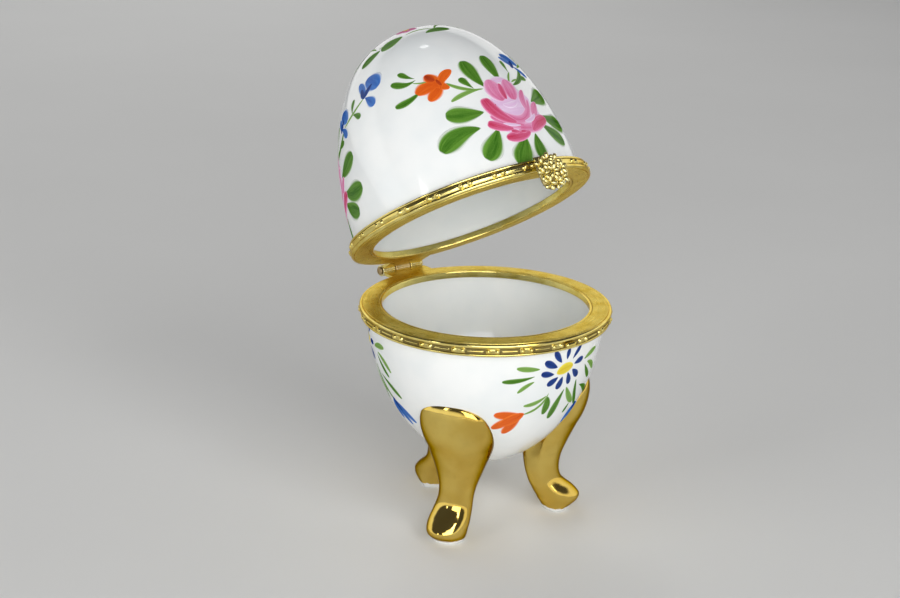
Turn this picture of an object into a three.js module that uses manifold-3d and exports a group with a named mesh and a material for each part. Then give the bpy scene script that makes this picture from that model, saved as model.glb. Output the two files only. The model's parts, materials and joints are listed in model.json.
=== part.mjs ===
// An egg-shaped porcelain trinket box on three gilded legs, with brass mounts round both
// halves, a three-knuckle hinge at the back and a cast flower clasp at the front.
// Millimetres, +Z up. The hinge is towards +Y and the clasp towards -Y.
import * as THREE from "three";
import { mergeVertices } from "three/addons/utils/BufferGeometryUtils.js";
import Module from "manifold-3d";

const wasm = await Module();
wasm.setup();

// ---------- overall sizes ----------
const rimRadius = 28; // outside of the bead wire
const bowlClearance = 13.5; // floor to the underside of the bowl
const bowlDepth = 36.1; // rim face to the underside of the bowl
const lidRise = 44.1; // lid's face to its crown
const openAngle = 34.3; // how far the lid stands open, in degrees

// ---------- porcelain ----------
const wall = 2.8;
const bowlFullness = [1.942, 0.5]; // powers of the bowl's outline
const lidFullness = [2.14, 1 / 2.254]; // powers of the lid's outline, a little more pointed

// ---------- brass mounts, sizes measured across one half ----------
const mountOverhang = 1.8; // bead wire beyond the porcelain
const faceInset = 0.8; // face and lower flange, inside the bead wire's outside
const lipThickness = 0.55;
const lipHeight = 1.5;
const faceThickness = 0.6;
const mountHeight = 2.9;
const bandThickness = 0.35;
const flangeThickness = 0.5;
const beadWireHeight = 1.35;
const seatGap = 0.08; // left between pieces that are soldered or cemented together
const closedGap = 0.3; // between the two faces when the lid is shut

// ---------- hinge ----------
const hingeReach = 3.1; // hinge axis beyond the bead wire
const knuckleRadius = 1.3;
const knuckleBore = 0.75;
const pinRadius = 0.5;
const pinHeadRadius = 0.95;
const pinHeadThickness = 0.3;
const hingeWidth = 11.5;
const leafOverlap = 1; // how far the hinge leaf lies over its ring
const middleKnuckle = 4.3;
const runningGap = 0.25;

// ---------- clasp ----------
const tongueWidth = 4.4;
const tongueThickness = 0.6;
const tongueDrop = 4.2; // below the lid's face
const jogTop = 0.7; // above the lid's face, where the tongue leaves the wire
const jogFoot = 0.2; // above the lid's face, where it stands clear of the stud
const flowerRadius = 4.2;
const flowerDome = 1.5;
const flowerDrop = 1.0; // flower's centre below the lid's face
const bossShare = 0.86; // of the flower's radius, the plain boss under the blossoms
const blossomRadius = 0.95;
const blossomRows = [[1, 0], [6, 0.42], [12, 0.8]]; // how many, and how far out on the boss
const studRadius = 0.55;
const studWidth = 2.8;
const studBite = 0.3; // how far the stud reaches into the wire

// ---------- legs ----------
const legBearings = { leg_rear: 90, leg_front_left: 210, leg_front_right: 330 };
const kneeTop = 16.1; // below the rim face
const legGap = 0.3;
const kneeCover = 0.3; // least thickness of the knee in front of the bowl
const widestShare = 0.38; // how far the widest line lies from the leg's back to its front

// The leg's outline from the sole up: height as a share of the leg's height, then its front,
// its back and half its width as shares of the porcelain's radius.
const legOutline = [
  [0, 0.744, 0.587, 0.126],
  [0.033, 0.774, 0.557, 0.148],
  [0.066, 0.858, 0.519, 0.158],
  [0.095, 0.877, 0.492, 0.162],
  [0.125, 0.855, 0.469, 0.162],
  [0.155, 0.816, 0.45, 0.156],
  [0.19, 0.759, 0.427, 0.146],
  [0.226, 0.713, 0.412, 0.139],
  [0.274, 0.69, 0.393, 0.135],
  [0.333, 0.687, 0.377, 0.144],
  [0.417, 0.706, 0.366, 0.178],
  [0.51, 0.752, 0.366, 0.219],
  [0.63, 0.82, 0.374, 0.271],
  [0.72, 0.874, 0.4, 0.302],
  [0.81, 0.904, 0.439, 0.305],
  [0.88, 0.912, 0.477, 0.285],
  [0.935, 0.906, 0.515, 0.25],
  [0.973, 0.897, 0.553, 0.185],
  [0.99, 0.893, 0.57, 0.125],
  [1, 0.89, 0.58, 0.02],
];

const turns = 48; // facets round a turned piece
const pinFacets = 16;
const studFacets = 12;

// ---------- derived ----------
const rimHeight = bowlClearance + bowlDepth;
const shellRadius = rimRadius - mountOverhang;
const faceRadius = rimRadius - faceInset;
const lipRadius = shellRadius - wall - lipThickness - seatGap;
const bandRadius = shellRadius + seatGap;
const hingeY = rimRadius + hingeReach;
const hingeZ = rimHeight + closedGap / 2;

const porcelain = new THREE.MeshStandardMaterial({ color: 0xf4f5f3, roughness: 0.12, metalness: 0 });
const gilding = new THREE.MeshStandardMaterial({ color: 0xd9a83a, roughness: 0.12, metalness: 1 });
const brushedBrass = new THREE.MeshStandardMaterial({ color: 0xd8b14e, roughness: 0.35, metalness: 1 });
const polishedBrass = new THREE.MeshStandardMaterial({ color: 0xe0bb58, roughness: 0.18, metalness: 1 });
const castBrass = new THREE.MeshStandardMaterial({ color: 0xcfae62, roughness: 0.4, metalness: 1 });
const steel = new THREE.MeshStandardMaterial({ color: 0x8a7a62, roughness: 0.45, metalness: 1 });

// A closed geometry becomes a solid that can be joined and cut.
function solidOf(geometry) {
  const bare = geometry.index ? geometry.clone() : mergeVertices(geometry.clone());
  bare.deleteAttribute("normal");
  bare.deleteAttribute("uv");
  const merged = mergeVertices(bare, 1e-5);
  return new wasm.Manifold(
    new wasm.Mesh({
      numProp: 3,
      vertProperties: new Float32Array(merged.attributes.position.array),
      triVerts: new Uint32Array(merged.index.array),
    })
  );
}

function geometryOf(solid) {
  const mesh = solid.getMesh();
  const geometry = new THREE.BufferGeometry();
  geometry.setAttribute("position", new THREE.BufferAttribute(mesh.vertProperties, 3));
  geometry.setIndex(new THREE.BufferAttribute(mesh.triVerts, 1));
  geometry.computeVertexNormals();
  return geometry;
}

function piece(name, solid, material) {
  const mesh = new THREE.Mesh(geometryOf(solid), material);
  mesh.name = name;
  return mesh;
}

// A turned solid: pairs of radius and height, going up outside and down inside.
function turned(outline) {
  const points = outline.map(([radius, height]) => new THREE.Vector2(radius, height));
  const geometry = new THREE.LatheGeometry(points, turns);
  geometry.rotateX(Math.PI / 2);
  return solidOf(geometry);
}

// A turned ring of one mount. Heights run away from the face: down on the base, up on the lid.
function ring(outline, faceHeight, side) {
  const placed = outline.map(([radius, height]) => [radius, faceHeight + side * height]);
  const closed = [...placed, placed[0]];
  return turned(side > 0 ? closed : closed.reverse());
}

// A round bar along X through the given Y and Z.
function barAlongX(radius, length, y, z, x = 0, facets = 20) {
  const bar = new THREE.CylinderGeometry(radius, radius, length, facets);
  bar.rotateZ(Math.PI / 2);
  bar.translate(x, y, z);
  return solidOf(bar);
}

function block(width, depth, height, x, y, z) {
  const box = new THREE.BoxGeometry(width, depth, height);
  box.translate(x, y, z);
  return solidOf(box);
}

// ---------- porcelain shells ----------
// Radius at a share of the way from the face to the crown, grown outwards by grow.
function eggRadius(share, fullness) {
  return shellRadius * Math.max(0, 1 - share ** fullness[0]) ** fullness[1];
}

// The outline from the face (share 0) to the crown, thinned by inset, as radius and distance.
function eggOutline(length, fullness, inset, steps = 16) {
  const radius = shellRadius - inset;
  return Array.from({ length: steps + 1 }, (_, i) => {
    const turn = (i / steps) * (Math.PI / 2);
    const share = Math.sin(turn) ** (2 / fullness[0]);
    const away = share * (length - inset);
    return [i === steps ? 0 : radius * (1 - share ** fullness[0]) ** fullness[1], away];
  });
}

const edgeHeight = faceThickness + seatGap; // the porcelain's edge, away from the face

function raised(outline) {
  return outline.map(([radius, away]) => [radius, Math.max(away, edgeHeight)]);
}

function lidShell() {
  const outside = raised(eggOutline(lidRise, lidFullness, 0));
  const inside = raised(eggOutline(lidRise, lidFullness, wall)).reverse();
  const z = rimHeight + closedGap;
  return turned([...inside, ...outside].map(([radius, away]) => [radius, z + away]));
}

function bowlOutside(grow) {
  return raised(eggOutline(bowlDepth, bowlFullness, -grow))
    .reverse()
    .map(([radius, away]) => [radius, rimHeight - away]);
}

function bowl() {
  const inside = raised(eggOutline(bowlDepth, bowlFullness, wall));
  return turned([...bowlOutside(0), ...inside.map(([radius, away]) => [radius, rimHeight - away])]);
}

// ---------- brass mounts ----------
const hingeAxis = { y: hingeY, z: hingeZ };

// The flat face with its hinge leaf: cut clear of the barrel, closer at its own knuckles.
function faceRing(faceHeight, side, ownKnuckles) {
  const inner = lipRadius + lipThickness + seatGap;
  const flat = ring([
    [faceRadius, 0], [faceRadius, faceThickness], [inner, faceThickness], [inner, 0],
  ], faceHeight, side);
  const leafDepth = hingeY - faceRadius;
  const leaf = block(hingeWidth, leafDepth + 2 * leafOverlap, faceThickness,
    0, faceRadius + leafDepth / 2 - leafOverlap, faceHeight + (side * faceThickness) / 2);
  let plate = flat.add(leaf).subtract(hole(inner));
  plate = plate.subtract(barAlongX(knuckleRadius + seatGap, hingeWidth + 2, hingeAxis.y, hingeAxis.z));
  for (const [x, width] of otherKnuckles(ownKnuckles)) {
    const clear = knuckleRadius + runningGap;
    plate = plate.subtract(barAlongX(clear, width, hingeAxis.y, hingeAxis.z, x));
  }
  return plate;
}

function hole(radius) {
  const plug = new THREE.CylinderGeometry(radius, radius, rimHeight, turns);
  plug.rotateX(Math.PI / 2);
  plug.translate(0, 0, rimHeight);
  return solidOf(plug);
}

const sideWidth = (hingeWidth - middleKnuckle) / 2;
const knuckles = {
  left: [-(middleKnuckle + sideWidth) / 2, sideWidth],
  middle: [0, middleKnuckle],
  right: [(middleKnuckle + sideWidth) / 2, sideWidth],
};

function otherKnuckles(own) {
  return Object.keys(knuckles)
    .filter((name) => !own.includes(name))
    .map((name) => [knuckles[name][0], knuckles[name][1] + runningGap]);
}

function knuckle(name) {
  const [x, width] = knuckles[name];
  const tube = barAlongX(knuckleRadius, width - runningGap, hingeAxis.y, hingeAxis.z, x);
  return tube.subtract(barAlongX(knuckleBore, width + 1, hingeAxis.y, hingeAxis.z, x, pinFacets));
}

function hingePin() {
  const shaft = barAlongX(pinRadius, hingeWidth + pinHeadThickness, hingeAxis.y, hingeAxis.z, 0, pinFacets);
  const headX = hingeWidth / 2 + seatGap + pinHeadThickness / 2;
  return [-headX, headX].reduce(
    (pin, x) => pin.add(barAlongX(pinHeadRadius, pinHeadThickness, hingeAxis.y, hingeAxis.z, x, pinFacets)),
    shaft
  );
}

function innerLip(faceHeight, side) {
  const outer = lipRadius + lipThickness;
  const round = lipThickness / 3;
  return ring([
    [lipRadius, round], [lipRadius, lipHeight], [outer, lipHeight], [outer, 0], [lipRadius + round, 0],
  ].reverse(), faceHeight, side);
}

// The band that grips the porcelain, with a flange along its far edge.
function bezelBand(faceHeight, side) {
  const outer = bandRadius + bandThickness;
  const top = faceThickness + seatGap;
  return ring([
    [bandRadius, top], [bandRadius, mountHeight], [faceRadius, mountHeight],
    [faceRadius, mountHeight - flangeThickness], [outer, mountHeight - flangeThickness], [outer, top],
  ].reverse(), faceHeight, side);
}

const wireInner = bandRadius + bandThickness + seatGap;
const wireMiddle = (faceThickness + mountHeight - flangeThickness) / 2;

// A half-round wire, grown by grow all round.
function beadWire(faceHeight, side, grow = 0) {
  const half = beadWireHeight / 2 + grow;
  const depth = rimRadius - wireInner + grow;
  const arc = Array.from({ length: 6 }, (_, i) => {
    const turn = -Math.PI / 2 + (i / 5) * Math.PI;
    return [wireInner + depth * Math.cos(turn), wireMiddle + half * Math.sin(turn)];
  });
  return ring(arc, faceHeight, side);
}

// ---------- clasp ----------
// A joggled strip: against the lid's wire above, standing clear of the stud below.
function claspTongue(faceHeight) {
  const near = rimRadius + seatGap;
  const clear = rimRadius + studRadius + runningGap;
  const lowest = -tongueDrop;
  const outline = new THREE.Shape([
    [near, mountHeight], [near, jogTop], [clear, jogFoot], [clear, lowest],
    [clear + tongueThickness, lowest], [clear + tongueThickness, mountHeight],
  ].map(([out, up]) => new THREE.Vector2(out, up)));
  const strip = new THREE.ExtrudeGeometry(outline, { depth: tongueWidth, bevelEnabled: false });
  strip.rotateX(Math.PI / 2);
  strip.rotateZ(-Math.PI / 2);
  strip.translate(tongueWidth / 2, 0, faceHeight);
  return solidOf(strip);
}

// A shallow dome set with rings of blossoms.
function claspFlower(faceHeight) {
  const back = rimRadius + studRadius + runningGap + tongueThickness + seatGap;
  const dome = new THREE.SphereGeometry(1, 16, 8);
  dome.scale(flowerRadius * bossShare, flowerDome, flowerRadius * bossShare);
  let cluster = solidOf(dome);
  for (const [count, share] of blossomRows) {
    for (let i = 0; i < count; i += 1) {
      const turn = ((i + share) / count) * Math.PI * 2;
      const out = share * flowerRadius;
      const blossom = new THREE.SphereGeometry(blossomRadius, 6, 4);
      blossom.translate(out * Math.cos(turn), -flowerDome * Math.sqrt(1 - share ** 2), out * Math.sin(turn));
      cluster = cluster.add(solidOf(blossom));
    }
  }
  const behind = block(4 * flowerRadius, 2 * flowerRadius, 4 * flowerRadius, 0, flowerRadius, 0);
  cluster = cluster.subtract(behind);
  return cluster.translate([0, -back, faceHeight - flowerDrop]);
}

function catchStud() {
  const z = rimHeight - wireMiddle;
  const stud = barAlongX(studRadius, studWidth, -rimRadius, z, 0, studFacets);
  return stud.subtract(beadWire(rimHeight, -1, seatGap)).subtract(innerDisc());
}

function innerDisc() {
  const radius = rimRadius - studBite;
  const disc = new THREE.CylinderGeometry(radius, radius, 2 * mountHeight, turns);
  disc.rotateX(Math.PI / 2);
  disc.translate(0, 0, rimHeight - wireMiddle);
  return solidOf(disc);
}

// ---------- legs ----------
function bowlRadiusAt(z) {
  return eggRadius(Math.min(1, Math.max(0, (rimHeight - z) / bowlDepth)), bowlFullness);
}

// Stations of the leg from the sole up: height, front, back, widest line and half width,
// the radii measured from the box's axis. The knee always covers the bowl behind it.
function legStations() {
  const height = rimHeight - kneeTop;
  return legOutline.map(([share, frontShare, backShare, halfShare]) => {
    const z = share * height;
    const half = halfShare * shellRadius;
    const back = backShare * shellRadius;
    const shell = z > bowlClearance ? bowlRadiusAt(z) : 0;
    const followed = Math.sqrt(Math.max(0, shell ** 2 - half ** 2));
    const front = Math.max(frontShare * shellRadius, shell + legGap + kneeCover);
    const widest = Math.max(back + widestShare * (front - back), followed);
    return [z, front, Math.min(back, followed || back), widest, half];
  });
}

// A cylinder whose rings take the stations' sections, then cut to the bowl.
function leg(bearing) {
  const stations = legStations();
  const depths = new THREE.CatmullRomCurve3(stations.map((s) => new THREE.Vector3(s[1], s[2], s[3])));
  const widths = new THREE.CatmullRomCurve3(stations.map((s) => new THREE.Vector3(s[4], s[0], 0)));
  const geometry = new THREE.CylinderGeometry(1, 1, 1, 18, 2 * (stations.length - 1));
  const spot = geometry.attributes.position;
  for (let i = 0; i < spot.count; i += 1) {
    const t = Math.min(1, Math.max(0, spot.getY(i) + 0.5));
    const depth = depths.getPoint(t);
    const width = widths.getPoint(t);
    const forward = spot.getZ(i);
    const reach = forward > 0 ? depth.x - depth.z : depth.z - depth.y;
    spot.setXYZ(i, depth.z + reach * forward, width.x * spot.getX(i), width.y);
  }
  geometry.rotateZ(THREE.MathUtils.degToRad(bearing));
  const grownBowl = turned([...bowlOutside(legGap), [0, rimHeight - edgeHeight]]);
  return solidOf(geometry).subtract(grownBowl);
}

// ---------- the assembly ----------
const base = new THREE.Group();
base.add(
  piece("bowl", bowl(), porcelain),
  piece("base_face_ring", faceRing(rimHeight, -1, ["middle"]), brushedBrass),
  piece("base_inner_lip", innerLip(rimHeight, -1), polishedBrass),
  piece("base_bezel_band", bezelBand(rimHeight, -1), polishedBrass),
  piece("base_bead_wire", beadWire(rimHeight, -1), polishedBrass),
  piece("base_knuckle", knuckle("middle"), polishedBrass),
  piece("hinge_pin", hingePin(), steel),
  piece("catch_stud", catchStud(), polishedBrass)
);
for (const [name, bearing] of Object.entries(legBearings)) {
  base.add(piece(name, leg(bearing), gilding));
}

const lidFace = rimHeight + closedGap;
const lidPieces = new THREE.Group();
lidPieces.add(
  piece("lid_shell", lidShell(), porcelain),
  piece("lid_face_ring", faceRing(lidFace, 1, ["left", "right"]), brushedBrass),
  piece("lid_inner_lip", innerLip(lidFace, 1), polishedBrass),
  piece("lid_bezel_band", bezelBand(lidFace, 1), polishedBrass),
  piece("lid_bead_wire", beadWire(lidFace, 1), polishedBrass),
  piece("lid_knuckle_left", knuckle("left"), polishedBrass),
  piece("lid_knuckle_right", knuckle("right"), polishedBrass),
  piece("clasp_tongue", claspTongue(lidFace), polishedBrass),
  piece("clasp_flower", claspFlower(lidFace), castBrass)
);
lidPieces.position.set(0, -hingeY, -hingeZ);

// The lid turns about the hinge axis.
const lid = new THREE.Group();
lid.position.set(0, hingeY, hingeZ);
lid.rotation.x = -THREE.MathUtils.degToRad(openAngle);
lid.add(lidPieces);

// The origin is on the floor, under the middle of the open box's width and depth.
const box = new THREE.Group();
box.add(base, lid);
box.updateMatrixWorld(true);
const extent = new THREE.Box3().setFromObject(box, true);
box.position.y = -(extent.min.y + extent.max.y) / 2;

export default box;
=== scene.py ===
import json
import math

import bmesh
import bpy
import numpy as np
from mathutils import Matrix, Vector


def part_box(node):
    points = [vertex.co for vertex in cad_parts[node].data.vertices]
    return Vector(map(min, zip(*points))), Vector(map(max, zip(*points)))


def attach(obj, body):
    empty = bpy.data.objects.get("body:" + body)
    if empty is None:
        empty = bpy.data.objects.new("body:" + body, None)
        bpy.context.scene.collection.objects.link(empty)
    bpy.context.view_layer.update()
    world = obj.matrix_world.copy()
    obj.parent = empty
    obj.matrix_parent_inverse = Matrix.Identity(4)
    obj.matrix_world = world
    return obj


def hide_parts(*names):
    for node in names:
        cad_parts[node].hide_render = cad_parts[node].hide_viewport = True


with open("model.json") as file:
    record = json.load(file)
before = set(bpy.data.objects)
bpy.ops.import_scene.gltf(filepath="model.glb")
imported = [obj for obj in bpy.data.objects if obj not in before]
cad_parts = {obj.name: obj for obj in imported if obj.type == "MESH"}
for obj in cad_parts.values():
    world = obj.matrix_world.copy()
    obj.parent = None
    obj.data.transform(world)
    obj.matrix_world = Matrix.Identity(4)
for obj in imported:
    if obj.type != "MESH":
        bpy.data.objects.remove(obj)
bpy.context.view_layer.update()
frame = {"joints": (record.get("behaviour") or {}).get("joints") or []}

# Everything is worked out in millimetres round the egg's own upright axis, with the lid shut.
# place() moves it to the box's frame and turns the lid's pieces open about the hinge pin.
mm = 0.001
wireLow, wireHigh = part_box("base_bead_wire")
joint = frame["joints"][0]
box = {
    "axisY": (wireLow.y + wireHigh.y) / 2 / mm,
    "rim": (wireHigh.x - wireLow.x) / 2 / mm,  # radius over the beads
    "baseFace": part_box("base_face_ring")[1].z / mm,
    "closedGap": 0.3,
    "wall": 2.8,
    "openTurn": math.radians(-joint["range_deg"][0]),
    "hingeZ": joint["pos_m"][2] / mm,
}
box["hingeY"] = joint["pos_m"][1] / mm - box["axisY"]
box["lidFace"] = box["baseFace"] + box["closedGap"]
box["shell"] = box["rim"] - 1.8  # radius of the porcelain at the mounts


def place(points, onLid):
    # y' = y cos + z sin, z' = z cos - y sin about the hinge pin, then the shift to the box's frame
    moved = np.array(points, float)
    if onLid:
        y = moved[:, 1] - box["hingeY"]
        z = moved[:, 2] - box["hingeZ"]
        c, s = math.cos(box["openTurn"]), math.sin(box["openTurn"])
        moved[:, 1] = box["hingeY"] + y * c + z * s
        moved[:, 2] = box["hingeZ"] + z * c - y * s
    moved[:, 1] += box["axisY"]
    return moved * mm


def gridFaces(rows, columns, closeRows=True, closeColumns=True, copies=1):
    # every point of a grid is joined to the next one both ways; copies are grids one after another
    i = np.arange(rows if closeRows else rows - 1)[:, None]
    j = np.arange(columns if closeColumns else columns - 1)[None, :]
    nextRow, nextColumn = (i + 1) % rows, (j + 1) % columns
    corners = [i * columns + j, i * columns + nextColumn, nextRow * columns + nextColumn, nextRow * columns + j]
    one = np.stack(np.broadcast_arrays(*corners), -1).reshape(-1, 4)
    return (one[None] + (np.arange(copies) * rows * columns)[:, None, None]).reshape(-1, 4)


def addPiece(name, points, faces, material, onLid=False, replaces=(), marks=None):
    points = np.asarray(points, float).reshape(-1, 3)
    mesh = bpy.data.meshes.new(name)
    mesh.from_pydata(place(points, onLid).tolist(), [], faces.tolist())
    own = mesh.attributes.new("own", "FLOAT_VECTOR", "POINT")  # millimetres round the axis, lid shut
    own.data.foreach_set("vector", points.astype(np.float32).ravel())
    for label, values in (marks or {}).items():
        values = np.asarray(values, np.float32)
        wide = values.ndim > 1
        values = values if values.ndim else np.full(len(points), values)
        layer = mesh.attributes.new(label, "FLOAT_VECTOR" if wide else "FLOAT", "POINT")
        layer.data.foreach_set("vector" if wide else "value", values.ravel())
    knit = bmesh.new()
    knit.from_mesh(mesh)
    bmesh.ops.remove_doubles(knit, verts=knit.verts, dist=2e-7)
    bmesh.ops.dissolve_degenerate(knit, edges=knit.edges, dist=1e-8)
    bmesh.ops.recalc_face_normals(knit, faces=knit.faces)
    knit.to_mesh(mesh)
    knit.free()
    mesh.polygons.foreach_set("use_smooth", np.ones(len(mesh.polygons), bool))
    mesh.materials.append(material)
    piece = bpy.data.objects.new(name, mesh)
    bpy.context.scene.collection.objects.link(piece)
    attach(piece, "lid" if onLid else "base")
    if replaces:
        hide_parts(*replaces)
    return piece


def smoothCurve(knots, values, at):
    # cubic Hermite through the knots, each slope the mean of its neighbours' slopes
    knots, values = np.asarray(knots, float), np.asarray(values, float)
    steps = np.diff(values) / np.diff(knots)
    slopes = np.concatenate([steps[:1], (steps[1:] + steps[:-1]) / 2, steps[-1:]])
    i = np.clip(np.searchsorted(knots, at) - 1, 0, len(knots) - 2)
    span = knots[i + 1] - knots[i]
    t = (at - knots[i]) / span
    return (values[i] * (1 + 2 * t) * (1 - t) ** 2 + slopes[i] * span * t * (1 - t) ** 2
            + values[i + 1] * t ** 2 * (3 - 2 * t) + slopes[i + 1] * span * t ** 2 * (t - 1))


def filleted(corners, radius, steps=4):
    # each corner becomes a quadratic arc that starts and ends one radius away along its two sides
    corners = np.asarray(corners, float)
    back = np.roll(corners, 1, 0) - corners
    ahead = np.roll(corners, -1, 0) - corners
    backLength = np.linalg.norm(back, axis=1, keepdims=True)
    aheadLength = np.linalg.norm(ahead, axis=1, keepdims=True)
    start = corners + back / backLength * np.minimum(radius, backLength * 0.45)
    end = corners + ahead / aheadLength * np.minimum(radius, aheadLength * 0.45)
    t = np.linspace(0, 1, steps)[None, :, None]
    arcs = start[:, None] * (1 - t) ** 2 + corners[:, None] * 2 * t * (1 - t) + end[:, None] * t ** 2
    return arcs.reshape(-1, 2)


def wholeTurn(count):
    return np.linspace(0, 2 * math.pi, count, endpoint=False)


def smoothStep(value):
    value = np.clip(value, 0, 1)
    return value * value * (3 - 2 * value)


def joined(x, y, z):
    return np.stack(np.broadcast_arrays(x, y, z), -1)


def revolve(radius, height, turns):
    # x = radius cos(turn), y = radius sin(turn), z = height
    return joined(radius * np.cos(turns), radius * np.sin(turns), height)


# small helpers for building materials out of nodes
def feed(tree, node, sockets):
    for label, socket in sockets.items():
        tree.links.new(socket, node.inputs[label])


def addNode(tree, kind, inputs=None, **settings):
    made = tree.nodes.new(kind)
    for label, value in settings.items():
        setattr(made, label, value)
    for label, value in (inputs or {}).items():
        socket = made.inputs[label]
        if isinstance(value, bpy.types.NodeSocket):
            tree.links.new(value, socket)
        else:
            socket.default_value = (*value, 1) if socket.type == "RGBA" and len(value) == 3 else value
    return made


def calc(tree, operation, *values, clamp=False):
    return addNode(tree, "ShaderNodeMath", dict(enumerate(values)), operation=operation, use_clamp=clamp).outputs[0]


def plus(tree, first, second, clamp=False):
    return calc(tree, "ADD", first, second, clamp=clamp)


def times(tree, first, second, clamp=False):
    return calc(tree, "MULTIPLY", first, second, clamp=clamp)


def ramp(tree, value, low, high, toLow=0.0, toHigh=1.0):
    return addNode(tree, "ShaderNodeMapRange", {
        "Value": value, "From Min": low, "From Max": high, "To Min": toLow, "To Max": toHigh,
    }, interpolation_type="SMOOTHSTEP").outputs["Result"]


def blendColours(tree, share, first, second):
    return addNode(tree, "ShaderNodeMix", {0: share, 6: first, 7: second}, data_type="RGBA").outputs[2]


def noise(tree, vector, scale, detail=2.0, roughness=0.5):
    return addNode(tree, "ShaderNodeTexNoise", {
        "Vector": vector, "Scale": scale, "Detail": detail, "Roughness": roughness,
    }).outputs["Fac"]


def stretched(tree, vector, factors):
    return addNode(tree, "ShaderNodeVectorMath", {0: vector, 1: factors}, operation="MULTIPLY").outputs[0]


def newGroup(name, inputs, outputs):
    group = bpy.data.node_groups.new(name, "ShaderNodeTree")
    kinds = {"value": "NodeSocketFloat", "vector": "NodeSocketVector", "colour": "NodeSocketColor"}
    for label, kind in inputs:
        group.interface.new_socket(name=label, in_out="INPUT", socket_type=kinds[kind])
    for label, kind in outputs:
        group.interface.new_socket(name=label, in_out="OUTPUT", socket_type=kinds[kind])
    return group, group.nodes.new("NodeGroupInput").outputs, group.nodes.new("NodeGroupOutput")


def useGroup(tree, group, inputs):
    return addNode(tree, "ShaderNodeGroup", inputs, node_tree=group).outputs


def startMaterial(name, constants):
    material = bpy.data.materials.new(name)
    material.use_nodes = True
    tree = material.node_tree
    shader = tree.nodes["Principled BSDF"]
    for label, value in constants.items():
        shader.inputs[label].default_value = value
    return material, tree, shader


def attribute(tree, label, output="Vector"):
    return addNode(tree, "ShaderNodeAttribute", attribute_name=label).outputs[output]


def split(tree, vector):
    return addNode(tree, "ShaderNodeSeparateXYZ", {0: vector}).outputs


def combined(tree, x, y, z):
    return addNode(tree, "ShaderNodeCombineXYZ", {"X": x, "Y": y, "Z": z}).outputs[0]


def bump(tree, height, strength, distance):
    return addNode(tree, "ShaderNodeBump", {
        "Height": height, "Strength": strength, "Distance": distance,
    }).outputs["Normal"]


# Glaze: a slow ripple, faint clouding and a few pinholes. Place is in millimetres.
def makeGlazeGroup():
    tree, given, out = newGroup(
        "glazeSurface", [("Place", "vector"), ("Ripple", "value")],
        [("Cloud", "value"), ("Height", "value"), ("Gloss", "value")])
    slow = noise(tree, given["Place"], 0.11, 2.0)
    fine = noise(tree, given["Place"], 0.6, 3.0)
    pin = addNode(tree, "ShaderNodeTexVoronoi", {"Vector": given["Place"], "Scale": 0.33}).outputs["Distance"]
    hole = ramp(tree, pin, 0.0, 0.022, -0.5, 0.0)
    height = plus(tree, times(tree, slow, given["Ripple"]), times(tree, fine, 0.12))
    feed(tree, out, {"Cloud": slow, "Height": plus(tree, height, hole), "Gloss": fine})
    return tree


# Metal handling: long fine scratches, small dents and cloudy tarnish. Stretch lays the scratches.
def makeMetalGroup():
    tree, given, out = newGroup(
        "handledMetal", [("Place", "vector"), ("Scratches", "vector"), ("Dents", "value")],
        [("Tarnish", "value"), ("Height", "value"), ("Wear", "value")])
    lines = noise(tree, given["Scratches"], 1.0, 4.0, 0.65)
    dents = noise(tree, given["Place"], 1.1, 2.0)
    cloud = noise(tree, given["Place"], 0.28, 4.0, 0.6)
    height = plus(tree, times(tree, lines, 0.35), times(tree, dents, given["Dents"]))
    feed(tree, out, {"Tarnish": ramp(tree, cloud, 0.42, 0.72), "Height": height, "Wear": lines})
    return tree


# One brush stroke: deep along its middle, paler at its sides, streaked along its length, and
# fading into the glaze at its very edge. Brush holds along (0 to 1), across (-1 to 1) and a seed.
def makeBrushGroup():
    tree, given, out = newGroup(
        "brushStroke",
        [("Brush", "vector"), ("Place", "vector"), ("Deep", "colour"), ("Pale", "colour"), ("Glaze", "colour"),
         ("Streaks", "value"), ("Fade", "value"), ("Lean", "value")],
        [("Colour", "colour"), ("Height", "value"), ("Gloss", "value")])
    parts = split(tree, given["Brush"])
    along, across, seed = parts["X"], parts["Y"], parts["Z"]
    trail = combined(tree, times(tree, along, 1.1), times(tree, across, 3.2), times(tree, seed, 19.0))
    streak = calc(tree, "SUBTRACT", noise(tree, trail, 1.0, 3.0, 0.6), 0.5)
    speckle = calc(tree, "SUBTRACT", noise(tree, given["Place"], 3.5, 2.0), 0.5)
    side = calc(tree, "POWER", calc(tree, "ABSOLUTE", across), 2.2)
    tone = plus(tree, times(tree, side, 0.55), times(tree, streak, given["Streaks"]))
    tone = plus(tree, tone, times(tree, calc(tree, "SUBTRACT", along, 0.5), given["Lean"]))
    tone = plus(tree, tone, times(tree, speckle, 0.25))
    tone = plus(tree, tone, 0.22, clamp=True)
    body = blendColours(tree, tone, given["Deep"], given["Pale"])
    rim = ramp(tree, calc(tree, "ABSOLUTE", across), 0.7, 1.0)
    ends = plus(tree, ramp(tree, along, 0.05, 0.0), ramp(tree, along, 0.965, 1.0))
    fade = times(tree, plus(tree, rim, ends, clamp=True), given["Fade"], clamp=True)
    feed(tree, out, {"Colour": blendColours(tree, fade, body, given["Glaze"]), "Height": streak, "Gloss": tone})
    return tree


glazeGroup = makeGlazeGroup()
metalGroup = makeMetalGroup()
brushGroup = makeBrushGroup()

glaze = {"white": (0.83, 0.845, 0.835), "cool": (0.77, 0.80, 0.80), "roughness": 0.07}


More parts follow.
